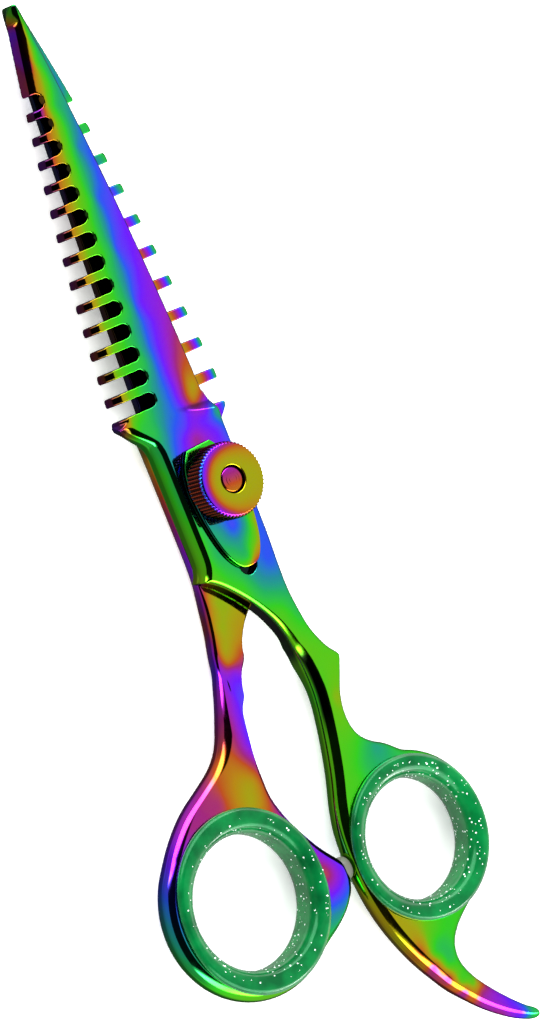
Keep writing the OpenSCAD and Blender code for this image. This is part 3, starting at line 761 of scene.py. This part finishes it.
def back_teeth_film():
    """Every tooth goes from its root's colour to green at its end. The roots run from green to orange."""
    stations = [(1, 76, 0.10), (1.6, 68, 0.17), (2.6, 62, 0.20), (3.2, 60.2, 0.04)]
    for i in range(back_blade.teeth):
        y = back_blade.first_y - i * back_blade.pitch
        end = float(back_blade.tooth_line(TIP_Y - y))
        root = min(0.08 + 0.14 * i, 0.66)
        for inwards, part in ((0.3, 0.0), (1.2, 0.4), (2.1, 0.75), (3.2, 1.0)):
            stations.append((end - inwards, y, mix(0.05, root, part)))
    return stations


BACK_FILM = back_teeth_film() + [
    (10.2, 10.4, 0.06), (8.6, 10, 0.30), (7.4, 9, 0.45), (-6.9, 8, -0.24), (-6.9, 2, -0.34),
    (-6.9, -4, -0.44), (-7.2, -10, -0.58), (-8.0, -16, -0.60), (-9.2, -22, -0.62),
    (-5.5, -16, -0.21), (-6.5, -20, -0.21), (-4.0, -20, -0.22), (-7.0, -23.5, -0.22),
    (-7.2, -25.4, -0.34), (-4.6, -24.5, -0.38), (-7.0, -27, -0.58), (-8.4, -30, -0.67),
    (-9.4, -34, -0.68), (-8.6, -38, -0.72), (-10.6, -37.6, -0.62), (-9.6, -25, -0.62),
    (-10.8, -29, -0.52), (-12.4, -33, -0.47), (-13.8, -36.4, -0.42), (-12.6, -43, -0.26),
    (-14.0, -46, -0.22), (-19, -43.6, -0.46), (-9.2, -45, -0.52), (-8.6, -49, -0.60),
    (-26, -44.6, -0.50), (-17, -39.4, -0.38), (-30.5, -48.6, -0.62), (-33.2, -54, -0.74),
    (-34.0, -60, -0.84), (-32.5, -66, -0.94), (-28, -71.3, -1.04), (-20, -73, -1.10),
    (-12, -70.6, -1.04), (-7.0, -66.5, -0.84), (-6.4, -60, -0.45), (-6.6, -56, -0.60),
    (-3.6, -61.5, -0.66), (-2.6, -64.5, -0.84), (-4.6, -57.0, -0.70),
]


def flat_facet(x, y, normals):
    """Evens out the shading normals of the back shank's upper facet below the ride face; its shape stays as
    it is.
    """
    border = np.interp(y, (-40.4, -37, -33.4, -30.5, -27.8, -25.9), (-9.6, -9.0, -8.1, -6.9, -5.5, -3.8))
    share = smoothstep(-26.5, -28.5, y) * smoothstep(-43, -37, y) * smoothstep(-3.0, -2.0, x - border)
    share *= smoothstep(0.45, 0.75, normals[:, 2])
    normals = mix(normals, np.array((0.0, 0.0, 1.0)), 0.9 * share[:, None])
    return normals / np.linalg.norm(normals, axis=1)[:, None]


STEP = 0.2
TILT_SHIFT = -0.06  # the phase moves this far from a flat face to an upright one


def make_half(body, field, low, high, stations, paint_shading, material):
    """Builds one half's mesh. The back one is made upside down and then rolled over about Y."""
    points, quads, normals = surface(field, low, high, STEP)
    if body == "back":
        points = points * (-1, 1, -1)
        normals = normals * (-1, 1, -1)
        normals = flat_facet(points[:, 0], points[:, 1], normals)
    film = film_at(stations, points[:, 0], points[:, 1])
    film += TILT_SHIFT * (1 - np.abs(normals[:, 2]))
    # painted light and shade at each point, from the half's own painter
    painted_shading = paint_shading(points, normals)
    points = points + (0, 0, RIDE_Z)
    new_piece(body + "_half", points, quads, body, material, body + "_blade",
              normals, film, painted_shading)


make_half("front", front_field, (-12, -96.5, -2.6), (26, TIP_Y + 0.6, 3.6),
          FRONT_FILM, front_painted_shading, FRONT_STEEL)
make_half("back", back_field, (-11, -74.5, -2.6), (35.5, TIP_Y + 0.6, 3.6),
          BACK_FILM, back_painted_shading, BACK_STEEL)


# ---------------------------------------------------------------- knob, bolt, leaf

def make_knob():
    """Knurled side, dished and polished top, and a bore that shows the bolt. The knurl gets painted
    highlights on its crests and painted shade in its valleys, and the bore painted shade.
    """
    z0, z1 = KNOB_LOW[2], KNOB_HIGH[2]
    r, mouth, bore = KNOB_R, 2.1, 2.05
    profile = [
        (bore, z0), (bore, z0), (r - 0.25, z0), (r - 0.02, z0 + 0.2), (r - 0.02, z0 + 0.5),
        (r - 0.02, z0 + 1.2), (r - 0.02, z1 - 1.9), (r - 0.02, z1 - 1.6), (r - 0.03, z1 - 1.35),
        (r - 0.05, z1 - 1.0), (r - 0.08, z1 - 0.66), (r - 0.2, z1 - 0.4), (r - 0.5, z1 - 0.25),
        (r - 1.1, z1 - 0.13), (r - 1.9, z1 - 0.05), (r - 2.8, z1 - 0.01), (mouth + 0.2, z1),
        (mouth, z1 - 0.12), (mouth, z1 - 0.5), (mouth, z1 - 1.1), (mouth, z1 - 1.1), (bore, z1 - 1.1),
        (bore, z1 - 1.1), (bore, z0 + 1),
    ]
    loop = rounded_loop(profile, 2)
    teeth = 60

    def knurl(a, j, radius, z):
        on_side = min(max((radius - (r - 0.45)) / 0.2, 0), 1)
        wave = abs((a * teeth / (2 * math.pi)) % 1 - 0.5) * 2
        return -0.26 * on_side * wave

    points, faces = lathe(loop, (0, 0), teeth * 6, knurl)
    radius = np.hypot(points[:, 0], points[:, 1])
    low_part = np.clip((z1 - 0.4 - points[:, 2]) / 2.0, 0, 1)
    towards_left = -(points[:, 0] * 0.9 - points[:, 1] * 0.3) / np.maximum(radius, 0.1)
    film = -0.21 - (0.05 + 0.05 * towards_left) * np.clip(radius - 2.6, 0, 3) ** 1.7 - 0.05 * low_part
    film = np.where(radius < mouth + 0.05, -0.45 - 0.15 * low_part, film)
    side = smoothstep(z1 - 0.4, z1 - 0.7, points[:, 2]) * smoothstep(r - 0.6, r - 0.4, radius)
    # rows of painted highlight along the knurl's crests
    rows = 0.5 + 0.5 * np.cos(points[:, 2] * 12)
    crest = smoothstep(r - 0.2, r - 0.02, radius) * (0.35 + 0.65 * rows)
    film = mix(film, -0.42, side)
    # painted highlights on the crests, painted shade in the valleys
    painted_shading = mix(1.0, 0.08 + 1.3 * crest, side)
    # painted shade down the bore
    painted_shading = np.where(radius < mouth + 0.05, 0.1, painted_shading)
    new_piece("knurled_knob", points, faces, "knob", KNOB_STEEL, "tension_knob",
              film=film, painted_shading=painted_shading)


def make_bolt():
    """Head, key and journal as one turned bolt, round all along without flats, with a grooved, domed end in
    the knob's mouth.
    """
    top = cad_box_mm("pivot_bolt")[1][2]
    z = RIDE_Z
    profile = [
        (0.02, 0.02), (0.02, 0.02), (4.55, 0.0), (4.8, 0.12), (4.8, 0.3), (4.8, z - 2.5), (4.8, z - 2.5),
        (2.78, z - 2.5), (2.78, z - 2.5), (2.78, z - 0.9), (2.95, z - 0.9), (2.95, z + PIVOT_T - 0.9),
        (1.9, z + PIVOT_T - 0.9), (1.9, z + PIVOT_T - 0.9), (1.9, z + 5.2), (1.97, z + 5.4),
        (1.97, top - 0.5),
        (1.9, top - 0.22), (1.65, top - 0.1), (1.25, top - 0.07), (1.15, top - 0.11), (1.0, top - 0.06),
        (0.75, top - 0.03), (0.65, top - 0.07), (0.5, top - 0.02), (0.2, top), (0.02, top), (0.02, top),
    ]
    points, faces = lathe(rounded_loop(profile, 2), (0, 0), 72)
    radius = np.hypot(points[:, 0], points[:, 1])
    film = -0.44 - 0.10 * np.clip(points[:, 1] / 2, -1, 1) * (radius < 3) - 0.05 * radius * (points[:, 2] < 2)
    new_piece("pivot_screw", points, faces, "back", BOLT_STEEL, "pivot_bolt", film=film)


def make_leaf():
    """The tension leaf: a plate with a soft bevel all round, turned a little about the pivot."""
    half = [
        (2.3, 6.3), (3.9, 4.1), (4.6, 1), (4.65, -2), (4.45, -5), (3.95, -8), (3.25, -10.5), (2.2, -12.4),
        (1.1, -13.35),
    ]
    top = [(-2.1, 6.35), (2.1, 6.35)]
    loop = top + half + [(-x, y) for x, y in reversed(half)]
    turn = math.radians(3)
    c, s = math.cos(turn), math.sin(turn)
    bevel = 0.35
    shape = Outline(rounded_loop([(x * c - y * s, x * s + y * c, bevel) for x, y in loop]))
    pip = (12.6 * s, -12.6 * c)

    def field(x, y, h):
        d, edge = shape.at(x, y)
        plate = rounded_slab(d, h, LEAF_Z + LEAF_T, LEAF_Z + 0.01, edge, 0.2 + 0 * x, 0.1 + 0 * x)
        post_end = np.maximum(LEAF_Z - 0.9 - h, h - LEAF_Z - 0.5)
        post = np.maximum(np.hypot(x - pip[0], y - pip[1]) - 0.6, post_end)
        return smax(smin(plate, post, 0.1), 2.7 - np.hypot(x, y), 0.1)

    points, quads, normals = surface(field, (-5.4, -14.2, LEAF_Z - 1.2), (5.4, 7.2, LEAF_Z + 1.2), step=0.14)
    stations = [
        (-2.5, 5.6, 0.02), (2.5, 5.6, 0.0), (-4, 0, 0.14), (4.4, 0, 0.0), (-2.6, -7, 0.14), (0, -6.6, 0.27),
        (2.4, -7, 0.10), (3.8, -7, -0.16), (-1, -10, 0.10), (1.4, -10, 0.02), (3.2, -10.5, -0.20),
        (0.8, -12.4, -0.08), (1.2, -13.2, -0.46), (-0.4, -12.6, -0.04),
    ]
    film = film_at(stations, points[:, 0], points[:, 1])
    # painted black shade on the leaf's steep side walls
    painted_shading = mix(0.04, 1, smoothstep(0.2, 0.6, np.abs(normals[:, 2])))
    points = points + (0, 0, RIDE_Z)
    new_piece("spring_leaf", points, quads, "front", LEAF_STEEL, "tension_leaf",
              normals, film, painted_shading)


make_knob()
make_bolt()
make_leaf()


# ---------------------------------------------------------------- soft pieces

def make_insert(name, centre, bore_r, hole_r, lip, stretch, body, node, seed):
    """A moulded ring with a rounded flange on each side and a waist in the metal ring, full of glitter."""
    t = INSERT_H / 2
    seat = HANDLE_T + 0.03
    width = lip - bore_r
    crest = lip - 0.8
    outer = [
        (crest - (crest - bore_r) * math.sin(a), 1.0 + (t - 1.0) * math.cos(a))
        for a in np.linspace(math.pi / 2, 0.06, 10)
    ]
    outer += [(crest + 0.35, t - 0.06), (lip - 0.12, t - 0.42), (lip, 2.6), (lip - 0.12, seat + 0.05)]
    upper = outer + [(hole_r + 0.3, seat), (hole_r - 0.05, seat), (hole_r - 0.05, seat - 0.3)]
    under_lip = hole_r + 0.45
    squeeze = (under_lip - bore_r) / width
    under = [(bore_r + (r - bore_r) * squeeze, -z) for r, z in reversed(outer)]
    under = [(hole_r - 0.05, 0.3 - seat), (hole_r - 0.05, -seat), (hole_r + 0.1, -seat)] + under
    loop = rounded_loop(upper + under, 2)

    def oval(a, j, r, z):
        """The upper flange is a little longer than it is wide."""
        outer_part = min(max((r - bore_r - 1) / (lip - bore_r - 1), 0), 1)
        return stretch * abs(math.sin(a)) ** 1.5 * outer_part * (z > RIDE_Z + seat - 0.02)

    points, faces = lathe([(r, z + RIDE_Z) for r, z in loop], centre, 144, oval)
    new_piece(name, points, faces[::-1], body, INSERT_SILICONE, node)
    add_glitter(name + "_glitter", loop, centre, bore_r, lip, body, seed)


FLAKES = 420  # on each insert


def add_glitter(name, loop, centre, bore_r, lip, body, seed):
    """Small six-sided flakes lying in the surface of an insert."""
    rng = np.random.default_rng(seed)
    seg = np.roll(loop, -1, axis=0) - loop
    length = np.hypot(seg[:, 0], seg[:, 1])
    chance = np.cumsum(length) / length.sum()
    ahead = np.roll(loop, -1, axis=0)
    turn = np.sign(np.sum(loop[:, 0] * ahead[:, 1] - ahead[:, 0] * loop[:, 1]))
    points, faces = [], []
    while len(faces) < FLAKES:
        i = int(np.searchsorted(chance, rng.random()))
        at = loop[i] + seg[i] * rng.random()
        out = turn * np.array([seg[i][1], -seg[i][0]]) / max(length[i], 1e-9)
        a = rng.random() * 2 * math.pi
        size = 0.06 + 0.11 * rng.random() ** 2
        tilt = rng.normal(0, 0.2, 2)
        if abs(at[1]) < HANDLE_T + 0.3 and at[0] > bore_r + 0.8 or at[0] > lip - 0.4:
            continue
        r, z = at + out * (0.01 + 0.03 * rng.random())
        radial = np.array([math.cos(a), math.sin(a), 0])
        normal = out[0] * radial + out[1] * np.array([0, 0, 1])
        round_ = np.array([-math.sin(a), math.cos(a), 0])
        other = np.cross(normal, round_)
        u = round_ + tilt[0] * normal
        v = other + tilt[1] * normal
        c = np.array([centre[0], centre[1], RIDE_Z]) + r * radial + np.array([0, 0, z])
        first = len(points)
        spin = rng.random() * math.pi
        for k in range(6):
            b = spin + k * math.pi / 3
            points.append(c + size * (math.cos(b) * u + math.sin(b) * v))
        faces.append(list(range(first, first + 6)))
    mesh = bpy.data.meshes.new(name)
    mesh.from_pydata((np.array(points) * MM).tolist(), [], faces)
    mesh.materials.append(FLAKE)
    obj = add_object(name, mesh)
    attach(obj, body)


def make_bumper():
    """A soft button with a rounded nose, lying along X in the lug's socket."""
    length = BUMPER_HIGH[0] - BUMPER_LOW[0]
    r = (BUMPER_HIGH[1] - BUMPER_LOW[1]) / 2
    profile = [
        (0.02, 0), (0.02, 0), (r - 0.5, 0.02), (r - 0.15, 0.2), (r - 0.02, 0.6), (r, 1.1), (r, 2.4),
        (r - 0.1, 2.5), (r - 0.1, 2.7), (r, 2.8), (r, length - 0.4), (r - 0.3, length - 0.02), (0.02, length),
        (0.02, length),
    ]
    points, faces = lathe(rounded_loop(profile, 2), (0, 0), 64)
    centre = (BUMPER_LOW + BUMPER_HIGH) / 2
    points = np.column_stack([
        BUMPER_HIGH[0] - points[:, 2], centre[1] + points[:, 1], centre[2] + points[:, 0],
    ])
    new_piece("rest_button", points, faces, "back", BUMPER_SILICONE, "bumper")


make_insert("finger_ring_insert", FINGER_C, FINGER_BORE_R, FINGER_HOLE_R, lip=12.3, stretch=0.5,
            body="front", node="finger_insert", seed=5)
make_insert("thumb_ring_insert", THUMB_C, THUMB_BORE_R, THUMB_HOLE_R, lip=13.0, stretch=1.1,
            body="back", node="thumb_insert", seed=9)
make_bumper()


# ---------------------------------------------------------------- carried-over CAD nodes

CARRIED = {
    "pivot_bush": BUSH_BRASS, "friction_washer": WASHER_PLASTIC, "spring_washer": SPRING_STEEL,
    "ratchet_washer": RATCHET_STEEL, "detent_balls": SPRING_STEEL, "detent_springs": SPRING_STEEL,
}
for node, material in CARRIED.items():
    for material_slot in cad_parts[node].material_slots:
        material_slot.material = material


# ---------------------------------------------------------------- floor, light and camera

FLOOR_REACH = 2.0  # metres


def make_floor():
    """A pale, faintly glowing plane that the polished steel doesn't mirror."""
    mesh = bpy.data.meshes.new("floor")
    corners = [(-FLOOR_REACH, -FLOOR_REACH, 0), (FLOOR_REACH, -FLOOR_REACH, 0),
               (FLOOR_REACH, FLOOR_REACH, 0), (-FLOOR_REACH, FLOOR_REACH, 0)]
    mesh.from_pydata(corners, [], [(0, 1, 2, 3)])
    floor = add_object("floor", mesh)
    m, tree, shader = node_material("pale_floor")
    shader.inputs["Base Color"].default_value = (0.93, 0.93, 0.93, 1)
    shader.inputs["Roughness"].default_value = 0.9
    shader.inputs["Specular IOR Level"].default_value = 0.0
    shader.inputs["Emission Color"].default_value = (1, 1, 1, 1)
    shader.inputs["Emission Strength"].default_value = 0.35
    mesh.materials.append(m)
    floor.visible_glossy = False


PANEL_STRENGTH = 9.0


def make_studio():
    """A white tent with a bright panel at each end of the shears and a black flag over their left side."""
    world = bpy.data.worlds.new("studio")
    bpy.context.scene.world = world
    world.use_nodes = True
    tree = world.node_tree
    back = tree.nodes["Background"]
    split = add(tree, "ShaderNodeSeparateXYZ")
    tree.links.new(add(tree, "ShaderNodeTexCoord").outputs["Generated"], split.inputs[0])
    x, y, z = (split.outputs[i] for i in range(3))
    tilt = math_node(tree, "ARCTAN2", math_node(tree, "MULTIPLY", x, -1.0), z)
    tilt = math_node(tree, "MULTIPLY", tilt, 180 / math.pi)

    side = math_node(tree, "ABSOLUTE", y)

    def rising(value, start, end):
        up = add(tree, "ShaderNodeMapRange", interpolation_type="SMOOTHSTEP")
        tree.links.new(value, up.inputs["Value"])
        up.inputs["From Min"].default_value = start
        up.inputs["From Max"].default_value = end
        return up.outputs[0]

    def band(start, end, soft, value):
        both = math_node(tree, "MULTIPLY", rising(tilt, start - soft, start + soft),
                         rising(tilt, end + soft, end - soft))
        return math_node(tree, "MULTIPLY", both, value)

    panels = math_node(tree, "MULTIPLY", rising(side, 0.60, 0.68), rising(z, 0.24, 0.34))
    panels = math_node(tree, "MULTIPLY", panels, math_node(tree, "SUBTRACT", 1.0, rising(side, 0.90, 0.96)))
    near = math_node(tree, "SUBTRACT", 1.0, rising(side, 0.53, 0.60))
    flag = math_node(tree, "MULTIPLY", near, band(-6, 62, 3, 0.99))
    middle = math_node(tree, "SUBTRACT", 1.0, rising(side, 0.75, 0.95))
    left = math_node(tree, "MULTIPLY", middle, band(62, 125, 5, 0.5))
    down = math_node(tree, "MULTIPLY", z, -1.0)
    below = math_node(tree, "MULTIPLY", rising(down, 0.45, 0.60), 0.6)
    light = math_node(tree, "ADD", math_node(tree, "MULTIPLY", panels, PANEL_STRENGTH), 1.0)
    for taken in (flag, left, below):
        light = math_node(tree, "MULTIPLY", light, math_node(tree, "SUBTRACT", 1.0, taken))
    tree.links.new(light, back.inputs["Strength"])
    back.inputs["Color"].default_value = (1, 1, 1, 1)


def make_camera():
    """Above the left-hand side, a long lens, rolled so that the tips lie up and to the left."""
    right = Vector((0.76501806, -0.371465, 0.52608091))
    up = Vector((0.35231046, 0.92520635, 0.14096295))
    behind = Vector((-0.5390962, 0.0775046, 0.83867057))
    place = Vector((-451.06, 58.714, 716.76 + RIDE_Z)) * MM
    data = bpy.data.cameras.new("camera")
    data.lens = 200
    data.sensor_width = 36
    data.sensor_fit = "AUTO"
    data.clip_start = 0.01
    camera = add_object("camera", data)
    camera.matrix_world = Matrix((
        (right.x, up.x, behind.x, place.x), (right.y, up.y, behind.y, place.y),
        (right.z, up.z, behind.z, place.z), (0, 0, 0, 1),
    ))
    bpy.context.scene.camera = camera


make_floor()
make_studio()
make_camera()
bpy.context.scene.view_settings.view_transform = "Standard"
